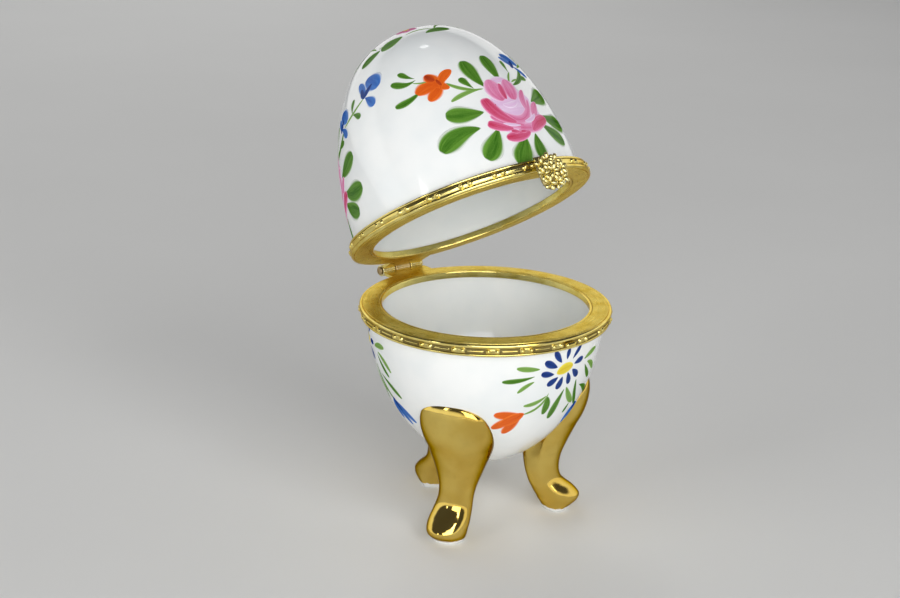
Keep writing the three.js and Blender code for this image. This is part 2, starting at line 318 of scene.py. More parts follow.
def makePorcelain():
    material, tree, shader = startMaterial(
        "glazedPorcelain", {"IOR": 1.52, "Coat Weight": 0.35, "Coat Roughness": 0.03})
    made = useGroup(tree, glazeGroup, {"Place": attribute(tree, "own"), "Ripple": 1.0})
    feed(tree, shader, {
        "Base Color": blendColours(tree, ramp(tree, made["Cloud"], 0.3, 0.75), glaze["white"], glaze["cool"]),
        "Roughness": ramp(tree, made["Gloss"], 0.2, 0.8, glaze["roughness"], glaze["roughness"] + 0.06),
        "Normal": bump(tree, made["Height"], 0.25, 0.0004)})
    return material


# side is the painted shade colour that the lustre darkens to at edges seen edge-on
lustre = {"deep": (0.74, 0.50, 0.10), "bright": (0.85, 0.64, 0.17), "side": (0.26, 0.17, 0.03),
          "dull": (0.44, 0.28, 0.07), "sole": (0.78, 0.79, 0.77), "soleLine": 0.95, "roughness": 0.08}


def makeLustre():
    # gold lustre over the glaze, with the bare porcelain showing in a wavy line at the sole, and painted shade
    # darkening the gold where it is seen edge-on
    material, tree, shader = startMaterial("goldLustre", {"Specular Tint": (0.55, 0.40, 0.18, 1)})
    place = attribute(tree, "own")
    made = useGroup(tree, glazeGroup, {"Place": place, "Ripple": 1.6})
    cloth = useGroup(tree, metalGroup, {"Place": place, "Scratches": stretched(tree, place, (2.4, 2.4, 0.35)),
                                        "Dents": 0.15})
    gold = blendColours(tree, ramp(tree, made["Cloud"], 0.3, 0.7), lustre["bright"], lustre["deep"])
    gold = blendColours(tree, times(tree, cloth["Tarnish"], 0.12), gold, lustre["dull"])
    edge = plus(tree, split(tree, place)["Z"], times(tree, noise(tree, place, 0.9, 2.0), -0.9))
    gilt = ramp(tree, edge, lustre["soleLine"] - 0.52, lustre["soleLine"] - 0.40)
    # painted shade: the gold turns to the side colour towards the edges seen edge-on
    side = addNode(tree, "ShaderNodeLayerWeight", {"Blend": 0.5}).outputs["Facing"]
    gold = blendColours(tree, ramp(tree, side, 0.35, 1.0), gold, lustre["side"])
    feed(tree, shader, {
        "Base Color": blendColours(tree, gilt, lustre["sole"], gold), "Metallic": gilt,
        "Roughness": ramp(tree, cloth["Wear"], 0.3, 0.8, lustre["roughness"], lustre["roughness"] + 0.07),
        "Normal": bump(tree, made["Height"], 0.35, 0.0004)})
    return material


def makeBrass(name, bright, dark, roughness, scratches, dents, strength, recessShade=None):
    # scratches run round the ring: the angle is stretched little and the radius a lot
    material, tree, shader = startMaterial(name, {"Metallic": 1.0, "Specular Tint": (0.80, 0.62, 0.34, 1)})
    place = attribute(tree, "own")
    parts = split(tree, place)
    turn = calc(tree, "ARCTAN2", parts["X"], parts["Y"])
    reach = calc(tree, "SQRT", plus(tree, times(tree, parts["X"], parts["X"]), times(tree, parts["Y"], parts["Y"])))
    laid = combined(tree, times(tree, turn, scratches[0]), times(tree, reach, scratches[1]),
                    times(tree, parts["Z"], scratches[1]))
    made = useGroup(tree, metalGroup, {"Place": place, "Scratches": laid, "Dents": dents})
    colour = blendColours(tree, made["Tarnish"], bright, dark)
    rough = ramp(tree, made["Wear"], 0.3, 0.75, roughness[0], roughness[1])
    if recessShade:
        # painted shade with some tarnish: the brass is darkened and roughened where the relief mark is low
        hollowShade = ramp(tree, attribute(tree, "relief", "Fac"), 0.45, 0.05)
        colour = blendColours(tree, times(tree, hollowShade, 0.8), colour, recessShade)
        rough = plus(tree, rough, times(tree, hollowShade, 0.25))
    feed(tree, shader, {"Base Color": colour, "Roughness": rough,
                        "Normal": bump(tree, made["Height"], strength, 0.0003)})
    return material


def makePigment(name, deep, pale, streaks, fade, lean=0.0, edge=None):
    # a stroke fades to the glaze at its edge, or to its edge colour where it lies over other paint
    material, tree, shader = startMaterial(name, {"IOR": 1.38})
    facing = addNode(tree, "ShaderNodeLayerWeight", {"Blend": 0.5}).outputs["Facing"]
    ground = blendColours(tree, attribute(tree, "onGlaze", "Fac"), edge or pale, glaze["white"])
    made = useGroup(tree, brushGroup, {
        "Brush": attribute(tree, "brush"), "Place": attribute(tree, "own"), "Deep": deep, "Pale": pale,
        "Glaze": ground, "Streaks": streaks, "Fade": fade, "Lean": lean})
    feed(tree, shader, {
        "Base Color": made["Colour"], "Roughness": ramp(tree, made["Gloss"], 0.0, 1.0, 0.12, 0.2),
        "Specular IOR Level": ramp(tree, facing, 0.4, 0.75, 0.25, 0.0),
        "Normal": bump(tree, made["Height"], 0.12, 0.0002)})
    return material


porcelainGlaze = makePorcelain()
goldLustre = makeLustre()
# bright, dark, roughness, scratches round and across, dents, bump strength, and the colour of the painted shade and
# tarnish in the recesses
brushedBrass = makeBrass("brushedBrass", (0.90, 0.76, 0.24), (0.76, 0.59, 0.13), (0.24, 0.40), (9.0, 3.4), 0.9, 0.3)
polishedBrass = makeBrass("polishedBrass", (0.92, 0.78, 0.27), (0.76, 0.59, 0.14), (0.12, 0.22), (5.0, 2.5), 0.4,
                          0.15, (0.12, 0.08, 0.03))
hingeBrass = makeBrass("hingeBrass", (0.95, 0.88, 0.50), (0.80, 0.70, 0.32), (0.20, 0.32), (40.0, 2.0), 0.8, 0.3)
wornBrass = makeBrass("wornBrass", (0.80, 0.68, 0.42), (0.58, 0.46, 0.28), (0.26, 0.40), (40.0, 2.0), 0.8, 0.3)
pinBrass = makeBrass("pinBrass", (0.55, 0.42, 0.22), (0.34, 0.24, 0.12), (0.35, 0.5), (30.0, 2.0), 0.8, 0.3)
castBrass = makeBrass("castBrass", (0.95, 0.85, 0.38), (0.80, 0.67, 0.24), (0.22, 0.36), (30.0, 3.0), 0.9, 0.3,
                      (0.24, 0.18, 0.08))
print("materials made")

# The two porcelain shells.
shells = {
    "lid": {"length": 44.1, "powers": (2.14, 1 / 2.254), "side": 1, "face": box["lidFace"]},
    "bowl": {"length": 36.1, "powers": (1.942, 0.5), "side": -1, "face": box["baseFace"]},
}
edge = 0.68  # the porcelain's edge, away from the face


def eggOutline(shell, inset, share):
    # radius = R (1 - share^p)^q, and the distance from the face is share times the length
    first, second = shell["powers"]
    radius = (box["shell"] - inset) * np.clip(1 - share ** first, 0, 1) ** second
    return radius, share * (shell["length"] - inset)


def makeShell(name, shell, node):
    t = np.linspace(0, 1, 110)
    share = np.sin(t * math.pi / 2) ** (2 / shell["powers"][0])
    outR, outH = eggOutline(shell, 0.0, share)
    inR, inH = eggOutline(shell, box["wall"], share[::-1])
    low = inH > edge
    highOut = outH > edge
    edgeIn = eggOutline(shell, box["wall"], np.array([edge / (shell["length"] - box["wall"])]))[0]
    edgeOut = eggOutline(shell, 0.0, np.array([edge / shell["length"]]))[0]
    radius = np.concatenate([inR[low], edgeIn, edgeIn + 0.25, edgeOut - 0.25, edgeOut, outR[highOut]])
    away = np.concatenate([inH[low], [edge + 0.15, edge, edge, edge + 0.15], outH[highOut]])
    turns = wholeTurn(200)
    points = revolve(radius[:, None], (shell["face"] + shell["side"] * away)[:, None], turns[None, :])
    faces = gridFaces(len(radius), len(turns), closeRows=False)
    return addPiece(name, points, faces, porcelainGlaze, shell["side"] > 0, [node])


makeShell("porcelainLid", shells["lid"], "lid_shell")
makeShell("porcelainBowl", shells["bowl"], "bowl")
print("shells made")

# A stroke is (root x, root y, tip x, tip y, width, bend) in millimetres on the glaze, x to the
# right and y up as seen from outside, from the middle of its spray. Bend bows it to its left.
for shell in shells.values():
    share = np.linspace(0, 1, 3000)
    shell["r"], shell["h"] = eggOutline(shell, 0.0, share)
    shell["s"] = np.concatenate([[0], np.cumsum(np.hypot(np.diff(shell["r"]), np.diff(shell["h"])))])
    shell["slopeR"] = np.gradient(shell["r"], shell["s"])
    shell["slopeH"] = np.gradient(shell["h"], shell["s"])

# deep and pale colours, streaks, fade at the edge, lean from deep to pale, and the edge over other paint
pigments = {
    "leafGreen": ((0.03, 0.12, 0.008), (0.17, 0.36, 0.05), 1.3, 0.85),
    "sapGreen": ((0.11, 0.25, 0.035), (0.33, 0.52, 0.16), 0.9, 0.95),
    "roseDeep": ((0.50, 0.04, 0.10), (0.74, 0.22, 0.42), 1.1, 0.75, 0.4, (0.78, 0.38, 0.58)),
    "roseMid": ((0.60, 0.12, 0.26), (0.78, 0.42, 0.64), 1.2, 0.8, 0.3, (0.80, 0.58, 0.76)),
    "rosePale": ((0.68, 0.42, 0.66), (0.80, 0.70, 0.82), 0.9, 0.8, 0.0, (0.82, 0.72, 0.83)),
    "vermilion": ((0.60, 0.075, 0.008), (0.80, 0.18, 0.02), 1.0, 0.55, 0.2),
    "russet": ((0.30, 0.030, 0.008), (0.60, 0.08, 0.012), 0.9, 0.3, -0.3),
    "cobalt": ((0.003, 0.018, 0.12), (0.03, 0.09, 0.36), 0.8, 1.0, -0.1),
    "skyBlue": ((0.02, 0.085, 0.36), (0.10, 0.27, 0.64), 0.9, 0.8, 0.3),
    "yolkYellow": ((0.62, 0.46, 0.02), (0.82, 0.72, 0.10), 0.9, 0.9),
}
pigments = {name: makePigment(name, *settings) for name, settings in pigments.items()}

lidSpray = {
    # fat leaves round the rose, and the fine ones
    ("leafGreen", 0, 1.7): [
        (-7.4, 0, -15.4, 1.7, 4.5, 0.3), (-9.8, -3.2, -19.4, -5.8, 5, -1.1),
        (-6.4, -4.2, -11.4, -10.2, 4.9, 0.3), (-0.6, -6.8, -4.6, -13.2, 5.4, 0.2),
        (2.4, -6.6, 2.2, -12.8, 3.7, -0.2), (5.8, -4.6, 12.7, -8.8, 4.4, -0.5),
        (7, -2.6, 16, -4.2, 4.9, -0.8), (5.9, 0.9, 13.8, 3.7, 5, -0.3), (-4.2, 5.8, -4.9, 14, 4, 0.6),
        (0.5, 6.6, 0.5, 14.7, 3.7, 0.2)],
    ("leafGreen", 0, 2.5): [
        (-16, 10.2, -23.8, 7.8, 1.9, 0.7), (-16.3, 12.6, -21.4, 13.9, 2.3, 1),
        (-16.3, 12.9, -18.4, 16.2, 1.8, 0.4), (4.5, 8.6, 4.8, 12.6, 1.4, 0.1), (4.9, 6.7, 9.8, 7.4, 1.8, 0.3),
        (-6.6, 6, -8.4, 9.6, 2, 0.1), (13.2, 12.2, 12.5, 15.8, 1.6, 0.2), (12.8, 12.4, 16.6, 10.3, 1.5, 0.2)],
    ("leafGreen", 0, 1.2): [(3, 5.6, 9.4, 10.2, 1.5, -0.9)],
    ("sapGreen", 0, 1.6): [(-4.8, 5.5, -11.6, 9.3, 1.1, 1), (-4.6, 5.6, -12.8, 4.4, 1.3, -0.5)],
    ("sapGreen", 0, 1.1): [
        (2.4, 5.6, 4.8, 8.9, 0.7, 0.3), (17, 14.6, 9.6, 10.8, 0.9, 0.3), (3.2, 6.2, 6.4, 7, 0.6, 0.2),
        (-14, 10.8, -17.6, 12, 0.5, 0.3)],
    # the rose, from the back petals to the front ones
    ("rosePale", 0, 1): [
        (-5.6, 0.8, 5.8, 1, 6.4, 0.9), (-6, -2.4, 7, -2.4, 5.4, 1), (-5.2, -4.9, 6.2, -5, 3, 0.3),
        (-2.6, 6.6, 2.2, 6.6, 2, 0.6)],
    ("roseMid", 1, 1): [
        (-1.5, 1.8, -2.3, 7.8, 4.6, 0.5), (0.8, 1.7, 1.4, 7.2, 4.1, -0.3), (-5, 0.6, 5, 1.8, 2.3, -4.3),
        (5.3, 3.9, 3.3, -1.4, 1.9, -0.8), (7.4, 0.7, 4.4, -3.8, 2.3, -0.6),
        (-6.8, -1.2, 2.2, -5.2, 2.5, -0.8), (-2.6, -4.6, 6.4, -4.7, 2.5, -0.8)],
    ("roseDeep", 2, 0.6): [(-6.1, 3.3, -1, -3.6, 3.1, -1.3), (-8, -2.6, -2.8, -4.9, 2.2, -0.3)],
    ("roseDeep", 2, 0.85): [(8.2, -3.3, 2, -6, 3.1, -0.6), (-5.3, -6.5, 1.2, -6.2, 2.6, -0.4)],
    ("roseDeep", 2, 1.1): [(-0.7, 2, -0.5, 6.2, 1.7, 0.2), (-4.2, 1.6, -4.9, -1.4, 1, -0.2)],
    ("rosePale", 3, 1): [
        (-2.4, 0.9, 1.6, 1.2, 1.5, -0.6), (1, -3.6, 5, -2.2, 1, -0.5), (-4.6, -3.4, -0.6, -4.4, 0.7, -0.2)],
    ("roseDeep", 3, 1): [(-3.6, -5.4, -1.6, -5.8, 1, 0), (-1.1, -5.8, 0.4, -5.9, 0.8, 0)],
    # orange flower
    ("vermilion", 0, 1.1): [
        (-12.4, 8.6, -14, 13, 3.5, 0.3), (-12.2, 9.6, -18.2, 8.8, 3.5, -0.5),
        (-12.6, 9.4, -16.6, 6.2, 2.8, 0.2), (-14.6, 9.6, -11.4, 7.6, 2.4, 0.4)],
    ("vermilion", 1, 1.8): [(-13.4, 7.9, -8.8, 12.1, 2, 0.8)],
    ("russet", 2, 1): [(-13.2, 10.6, -14.2, 12.8, 1.9, 0.1), (-12.6, 9, -12.9, 10.8, 0.8, 0.1)],
    # two blue flowers
    ("skyBlue", 0, 1.1): [
        (15.6, 18.8, 20.5, 15, 3.9, 0.3), (17, 14.6, 13.3, 18.9, 1.9, -0.2),
        (6.2, 14.6, 11.2, 11.6, 3.6, 0.3), (7.7, 11, 5, 13.8, 1.9, -0.2)],
    ("skyBlue", 0, 1.8): [(17, 14.4, 20.6, 11, 2.2, 0.2), (7.8, 11, 11.5, 8.1, 2, 0.2)],
    ("cobalt", 1, 0.8): [
        (16.5, 14.1, 18.3, 16.9, 1.5, 0.1), (16.6, 14.3, 14.8, 17, 1.2, 0), (7.3, 10.4, 8.8, 13, 1.4, 0.1)],
}

crownSpray = {
    ("leafGreen", 0, 1.4): [
        (-13.6, -6.2, -17.2, -1.2, 3.7, 0.3), (-8.6, -9.6, -13.9, -6.3, 4.3, 0.3),
        (-5.4, -14, 1.4, -14.7, 3.1, 0.2), (3.2, -9.4, 8, -12.6, 4, 0.3), (10, -3.2, 15.4, -5, 4.2, -0.3),
        (9.2, 5.4, 14.6, 7.4, 4, 0.3), (2.4, 10, 4.4, 15.4, 4, -0.3), (-6.4, 9, -9.4, 13.8, 4, 0.3),
        (-10.6, 2.6, -15.8, 4.4, 3.8, -0.3)],
    ("sapGreen", 0, 1): [
        (-12.8, -4.8, -8.6, -9.4, 0.8, -0.5), (-8, -9.8, -2.2, -13.2, 0.7, 0.5),
        (-1.8, -13.4, 3.4, -9.2, 0.7, 0.5), (3.6, -9.2, 10.2, -3, 0.8, -0.8), (10.2, -2.6, 9, 5.4, 0.8, -0.8),
        (8.8, 5.8, 2.6, 10, 0.8, -0.9), (2, 10.2, -6.2, 8.8, 0.8, -1), (-6.6, 8.6, -10.4, 2.8, 0.8, -0.6),
        (-10.8, 2.2, -13, -4.4, 0.7, 0.4)],
    ("roseMid", 0, 1.1): [
        (-4.9, -6.8, -7.3, -6, 2.8, 0.1), (-4.9, -6.6, -5.6, -4.1, 2.7, 0.1),
        (-4.7, -6.7, -2.2, -6.2, 2.7, 0), (-4.8, -6.9, -4.4, -9.6, 2.6, 0.1),
        (-5, -6.9, -6.6, -8.9, 2.5, 0.1)],
    ("yolkYellow", 1, 1): [(-5.6, -6.8, -4.1, -6.7, 1.5, 0)],
    ("skyBlue", 0, 1.2): [
        (3.4, 2.4, 5.6, 4.6, 2.6, 0.2), (3.2, 2.6, 2.4, 5.4, 2.3, -0.2), (3, 2.2, 0.4, 2.4, 2.2, 0.1),
        (3.2, 2, 3.6, -0.6, 2.2, 0.1), (3.6, 2.2, 6.2, 1.4, 2.2, 0.1)],
}

bowlSpray = {
    ("cobalt", 0, 1.5): [
        (-1.1, 1.9, -3.2, 5, 1.7, 0.1), (-2.2, 1.1, -5.5, 3.1, 2, 0.1), (-2.8, -0.5, -6.2, 0.4, 1.8, 0.1),
        (-1.4, -1.3, -4.1, -2.9, 2, 0.1), (-0.2, -1.4, -1, -4.6, 2.1, 0.1), (1.2, -0.8, 2.3, -4, 1.7, 0.1),
        (2.4, -0.4, 4.9, -2.8, 1.9, 0.1), (2.8, 0.9, 6, 1.4, 1.8, 0.1), (2, 2.2, 4.7, 4.9, 1.4, 0.1),
        (0.5, 2.4, 0.8, 5.1, 1.4, 0.1)],
    ("yolkYellow", 1, 1): [(-2.2, -0.4, 2.4, 0.6, 2.6, 0.3)],
    ("sapGreen", 0, 1.3): [
        (-6.4, 1.5, -12, 2.4, 1.5, 0.1), (-7.4, -1.4, -10.9, -4, 1.3, -0.3),
        (-3.4, -5.6, -8.6, -7.5, 1.4, 0.6), (6.6, 1, 12, 2.1, 1.8, 0.3), (1.8, -4.6, 6.4, -10.2, 1.9, -0.4),
        (-3, -4.8, -8.2, -10.1, 0.9, 1.3), (8, -0.1, 12.8, -3.6, 1.7, 0.5)],
    ("leafGreen", 0, 1.7): [
        (-7.6, -0.1, -14.7, -0.7, 1.4, 0.3), (1.6, -4.8, -0.4, -12.9, 2.4, -0.4),
        (7.2, -0.4, 11.2, -5.2, 1.6, -0.2), (5.2, -9.8, 4.2, -12.7, 1.3, 0), (6.8, -5.6, 13, -9.6, 1.9, 0.4)],
    ("leafGreen", 0, 1.2): [(5, -3.6, 9, -12, 1.5, -0.8), (-3.3, -5.8, -2.7, -11, 2.2, 0.3)],
    ("vermilion", 0, 1.4): [
        (-7.8, -9.9, -14.2, -9.4, 2.5, 0.3), (-8, -9.8, -13.6, -13.8, 3, -0.1),
        (-8.2, -9.6, -10.1, -15.8, 2.9, -0.3)],
    ("vermilion", 1, 1.1): [(-7.6, -9.6, -12.2, -12.6, 3.2, 0)],
    ("skyBlue", 0, 1.3): [
        (8.6, -11.2, 6.9, -17.2, 2.8, -0.3), (8.7, -11.2, 9.9, -17.8, 2.7, 0),
        (8.8, -11.3, 12.8, -16.4, 2.7, 0.3)],
    ("cobalt", 1, 0.9): [(8.5, -11, 9.4, -14, 1.3, 0)],
}


# heights of a stroke's section over the glaze, its grid, and how far its ends wander
stroke = {"thin": 0.018, "load": 0.010, "sunk": 0.012, "layer": 0.022, "edge": 0.004, "rows": 22, "columns": 12,
          "shake": 0.09}
lidPlaces = {"bearings": (-88, 146, 28), "height": 15.6}
bowlPlaces = {"bearings": (-88, 147, 27), "height": 8.3}


def onShell(shell, bearing, x, y, arc, lift):
    # a point x along the bearing and y up the outline, lift off the glaze along its normal;
    # with no bearing x and y are taken flat from the pole
    if bearing is None:
        away = np.hypot(x, y)
        turn = np.arctan2(y, x)
        s = shell["s"][-1] - away
        radius = np.interp(s, shell["s"], shell["r"])
    else:
        s = arc + y * shell["side"]
        radius = np.interp(s, shell["s"], shell["r"])
        turn = math.radians(bearing) + x / radius
    height = np.interp(s, shell["s"], shell["h"])
    outward = np.interp(s, shell["s"], shell["slopeH"])
    along = -np.interp(s, shell["s"], shell["slopeR"])
    reach = radius + lift * outward
    return revolve(reach, shell["face"] + shell["side"] * (height + lift * along), turn)


def strokePoints(shell, bearing, arc, strokes, lean, layer, draw):
    # centre = root + (tip - root) t + bend 4t(1 - t); half width = w/2 sin(pi t^lean)^0.5;
    # the section is a lens that stands on the layers below it
    rows, columns = stroke["rows"], stroke["columns"]
    rootX, rootY, tipX, tipY, width, bend = np.array(strokes, float).T[:, :, None, None]
    shake = draw.normal(0, stroke["shake"], (4, len(strokes), 1, 1))
    rootX, rootY, tipX, tipY = rootX + shake[0], rootY + shake[1], tipX + shake[2], tipY + shake[3]
    t = ((1 - np.cos(np.linspace(0, math.pi, rows))) / 2)[None, :, None]
    phi = np.linspace(0, math.pi, columns - 2)
    across = np.concatenate([np.cos(phi), [-0.96, 0.96]])[None, None, :]
    rise = np.concatenate([np.sin(phi), [0.0, 0.0]])[None, None, :]
    under = np.concatenate([np.zeros(columns - 2), [1.0, 1.0]])[None, None, :]
    dirX, dirY = tipX - rootX, tipY - rootY
    length = np.hypot(dirX, dirY)
    sideX, sideY = -dirY / length, dirX / length
    bow = bend * 4 * t * (1 - t)
    tilt = bend * 4 * (1 - 2 * t) / length
    norm = np.sqrt(1 + tilt ** 2)
    acrossX = (sideX - dirX / length * tilt) / norm
    acrossY = (sideY - dirY / length * tilt) / norm
    swell = np.clip(np.sin(math.pi * t ** lean), 0, 1) ** 0.5
    half = width / 2 * swell
    x = rootX + dirX * t + sideX * bow + acrossX * half * across
    y = rootY + dirY * t + sideY * bow + acrossY * half * across
    thickness = stroke["thin"] + stroke["load"] * np.sqrt(width / 4)
    lift = np.where(under > 0, -stroke["sunk"], stroke["layer"] * layer + stroke["edge"] + thickness * rise * swell)
    points = onShell(shell, bearing, x, y, arc, lift)
    seed = draw.random((len(strokes), 1, 1))
    brush = joined(t, across, seed)
    onGlaze = np.full(x.size, float(layer == 0))
    faces = gridFaces(rows, columns, closeRows=False, copies=len(strokes))
    return points.reshape(-1, 3), brush.reshape(-1, 3), faces, onGlaze


def paint(prefix, shell, sprays):
    # all the strokes of one pigment on one shell make one piece
    draw = np.random.default_rng(11)
    found = {}
    for spray, bearing, height in sprays:
        arc = np.interp(height, shell["h"], shell["s"])
        for (pigment, layer, lean), strokes in spray.items():
            made = strokePoints(shell, bearing, arc, strokes, lean, layer, draw)
            found.setdefault(pigment, []).append(made)
    for pigment, parts in found.items():
        starts = np.cumsum([0] + [len(p[0]) for p in parts[:-1]])
        faces = np.concatenate([p[2] + start for p, start in zip(parts, starts)])
        points, brush, onGlaze = (np.concatenate([p[k] for p in parts]) for k in (0, 1, 3))
        addPiece(prefix + pigment[0].upper() + pigment[1:], points, faces, pigments[pigment], shell["side"] > 0, (),
                 {"brush": brush, "onGlaze": onGlaze})


paint("lid", shells["lid"],
      [(lidSpray, b, lidPlaces["height"]) for b in lidPlaces["bearings"]] + [(crownSpray, None, 0)])
paint("bowl", shells["bowl"], [(bowlSpray, b, bowlPlaces["height"]) for b in bowlPlaces["bearings"]])
print("flowers painted")

legs = {
    # node, bearing, and how far the foot and the knee stray sideways, set by hand when luted on
    "names": {"legRear": ("leg_rear", 90, -1.0, 0.0), "legFrontLeft": ("leg_front_left", 210, -1.1, 0.8),
              "legFrontRight": ("leg_front_right", 330, 0.0, 0.0)},
    # height, front, back and half width; front and back are measured out from the egg's axis
    "stations": [
        (0.0, 20.2, 14.7, 3.5), (0.6, 20.6, 14.4, 3.9), (1.1, 21.2, 14.1, 4.15), (1.6, 21.9, 13.8, 4.3),
        (2.2, 22.6, 13.4, 4.45), (3.2, 23.0, 12.9, 4.55), (4.2, 22.4, 12.3, 4.6), (5.2, 21.4, 11.8, 4.5),
        (6.4, 19.9, 11.2, 4.3), (7.6, 18.7, 10.8, 4.1), (9.2, 18.1, 10.3, 3.95), (11.2, 18.0, 9.9, 4.1),
        (14.0, 18.5, 9.6, 4.8), (17.1, 19.7, 9.6, 5.75), (21.1, 21.5, 9.8, 7.1), (24.1, 22.9, 10.5, 7.9),
        (27.2, 23.75, 11.5, 8.05), (29.6, 24.0, 12.5, 7.6), (31.2, 23.9, 13.4, 6.8), (32.4, 23.65, 14.3, 5.3),
        (33.1, 23.4, 14.8, 3.6), (33.4, 23.2, 15.0, 2.0), (33.5, 23.0, 15.2, 0.02)],
    "sink": 0.45,  # how far the leg goes into the bowl's wall
    "widest": 0.38,  # where the leg is widest, as a share of the way from its back to its front
    "strayHeight": 26,  # the stray runs from the foot's to the knee's over this height
}


def makeLeg(name, node, bearing, footStray, kneeStray):
    # front half: x = w sin a, out = base + (front - base) cos(a)^0.9; back half: a shallow arc
    # out = base - (base - back)(1 - (x/w)^2), kept just inside the bowl's wall
    stations = np.array(legs["stations"])
    z = np.concatenate([np.linspace(0, 7, 44), np.linspace(7, 28, 56)[1:],
                        33.5 - 5.5 * np.linspace(1, 0, 28)[1:] ** 1.8])
    front, back, half = (smoothCurve(stations[:, 0], stations[:, k], z)[:, None] for k in (1, 2, 3))
    half = np.maximum(half, 0.02)
    depth = np.clip((box["baseFace"] - z) / shells["bowl"]["length"], 0, 1)
    wallR = eggOutline(shells["bowl"], 0.0, depth)[0][:, None]

    def bowlAt(x):
        inside = wallR ** 2 - x ** 2
        return np.where(inside > 0, np.sqrt(np.maximum(inside, 0)) - legs["sink"], -99.0)

    base = np.maximum(back + legs["widest"] * (front - back), bowlAt(half))
    front = np.maximum(front, bowlAt(0 * half) + 0.1)
    a = np.linspace(-math.pi / 2, math.pi / 2, 30)[None, :]
    frontX = half * np.sin(a)
    frontOut = base + (front - base) * np.clip(np.cos(a), 0, 1) ** 0.9
    frontOut = np.maximum(frontOut, bowlAt(frontX))
    u = np.linspace(1, -1, 22)[None, 1:-1]
    backX = half * u
    backOut = np.maximum(base - (base - back) * (1 - u ** 2), bowlAt(backX))
    x = np.concatenate([frontX, backX], 1)
    out = np.concatenate([frontOut, backOut], 1)
    up = z[:, None] * np.ones_like(x)
    middle = (out[0].max() + out[0].min()) / 2
    caps = np.array([(0.02, 0.25), (0.4, 0.2), (0.75, 0.1), (0.93, 0.0)])  # width and height of the sole's rows
    x = np.concatenate([x[:1] * caps[:, :1], x])
    out = np.concatenate([middle + (out[:1] - middle) * caps[:, :1], out])
    up = np.concatenate([caps[:, 1:] * np.ones_like(up[:1]), up])
    x = x + footStray + (kneeStray - footStray) * smoothStep(up / legs["strayHeight"])
    c, s = math.cos(math.radians(bearing)), math.sin(math.radians(bearing))
    points = joined(out * c - x * s, out * s + x * c, up)
    points[0] = points[0].mean(0)
    points[-1] = points[-1].mean(0)
    faces = gridFaces(points.shape[0], points.shape[1], closeRows=False)
    return addPiece(name, points, faces, goldLustre, False, [node])


for name, settings in legs["names"].items():
    makeLeg(name, *settings)
print("legs made")

# The brass mounts are the same on both halves; depths run away from the face.
mount = {
    # sections as (radius, depth)
    "lip": [(22.77, 0.0), (23.34, 0.0), (23.34, 1.5), (22.77, 1.5)],
    "bezel": [(26.3, 0.7), (26.63, 0.7), (26.63, 2.3), (27.35, 2.36), (27.35, 2.82), (26.6, 2.9), (26.3, 2.85)],
    "rolledEdge": [(26.75, 0.62), (26.92, 0.32), (27.06, 0.16), (27.25, 0.11), (27.45, 0.16), (27.6, 0.30),
                   (27.68, 0.48), (27.7, 0.66), (27.66, 0.82), (27.56, 0.95), (27.44, 1.03)],
    "underside": [(27.36, 2.21), (27.2, 2.25), (27.0, 2.26), (26.75, 2.2), (26.72, 1.4)],
    "faceInner": 23.4, "faceOuter": 27.0, "faceThickness": 0.6,
    "leafSpread": 17, "leafBlend": 0.35,  # degrees either side of the hinge, and the fillet beside the leaf
    "units": 24, "unitColumns": 52,
    "bandRadius": 27.4, "beadMiddle": 1.62, "beadRadius": 0.53, "beadApart": 1.93,
    "slot": (4.2, 1.02), "bar": (3.4, 0.3), "bandRise": {"base": 0.16, "lid": 0.18},
    "firstPair": -126.5,  # bearing of the first pair of beads
}
hinge = {"width": 11.5, "middle": 4.3, "radius": 1.3, "bore": 0.75, "gap": 0.25, "pin": 0.5, "pinHead": 0.95}
hinge["side"] = (hinge["width"] - hinge["middle"]) / 2
hinge["knuckles"] = {
    "left": (-(hinge["middle"] + hinge["side"]) / 2, hinge["side"]),
    "middle": (0.0, hinge["middle"]),
    "right": ((hinge["middle"] + hinge["side"]) / 2, hinge["side"]),
}
sideOf = {"base": -1, "lid": 1}
faceZ = {"base": box["baseFace"], "lid": box["lidFace"]}


def makeFaceRing(half):
    # the ring's outer edge swells out to the hinge leaf: outline = leaf end / cos, or leaf side / sin
    spread = math.radians(mount["leafSpread"])
    hingeward = np.linspace(math.pi / 2 - spread, math.pi / 2 + spread, 150)
    rest = np.linspace(math.pi / 2 + spread, 5 * math.pi / 2 - spread, 220)[1:-1]
    turns = np.concatenate([hingeward, rest])
    off = turns - math.pi / 2
    x = (box["hingeY"] - 1.3) * np.tan(np.where(np.abs(off) < spread * 1.01, off, spread))
    inMiddle = smoothStep((hinge["middle"] / 2 + 0.06 - np.abs(x)) / 0.12)
    holds = inMiddle if half == "base" else 1 - inMiddle
    end = box["hingeY"] - 1.56 + 0.5 * holds
    leaf = np.minimum(end / np.cos(off), (hinge["width"] / 2 - 0.05) / np.maximum(np.abs(np.sin(off)), 1e-6))
    leaf = np.where(np.abs(off) < spread * 1.01, leaf, 0)
    plain = mount["faceOuter"]
    soft = mount["leafBlend"]
    past = leaf - plain
    outline = plain + soft * np.logaddexp(0, past / soft) - soft * math.log(2) * np.exp(-np.abs(past))
    outline = np.where(leaf > plain - 2, np.minimum(outline, np.maximum(leaf, plain)), plain)
    t = mount["faceThickness"]
    corners = [(mount["faceInner"], 0), (24.6, 0.0), (25.8, 0.0), (plain, 0), (plain, t), (mount["faceInner"], t)]
    section = filleted(corners, 0.12)
    share = np.clip((section[:, 0] - mount["faceInner"]) / (plain - mount["faceInner"]), 0, 1)
    radius = section[None, :, 0] + share[None, :] * (outline - plain)[:, None]
    points = revolve(radius, faceZ[half] + sideOf[half] * section[None, :, 1], turns[:, None])
    faces = gridFaces(len(turns), len(section))
    return addPiece(half + "FaceRing", points, faces, brushedBrass, half == "lid", [half + "_face_ring"])


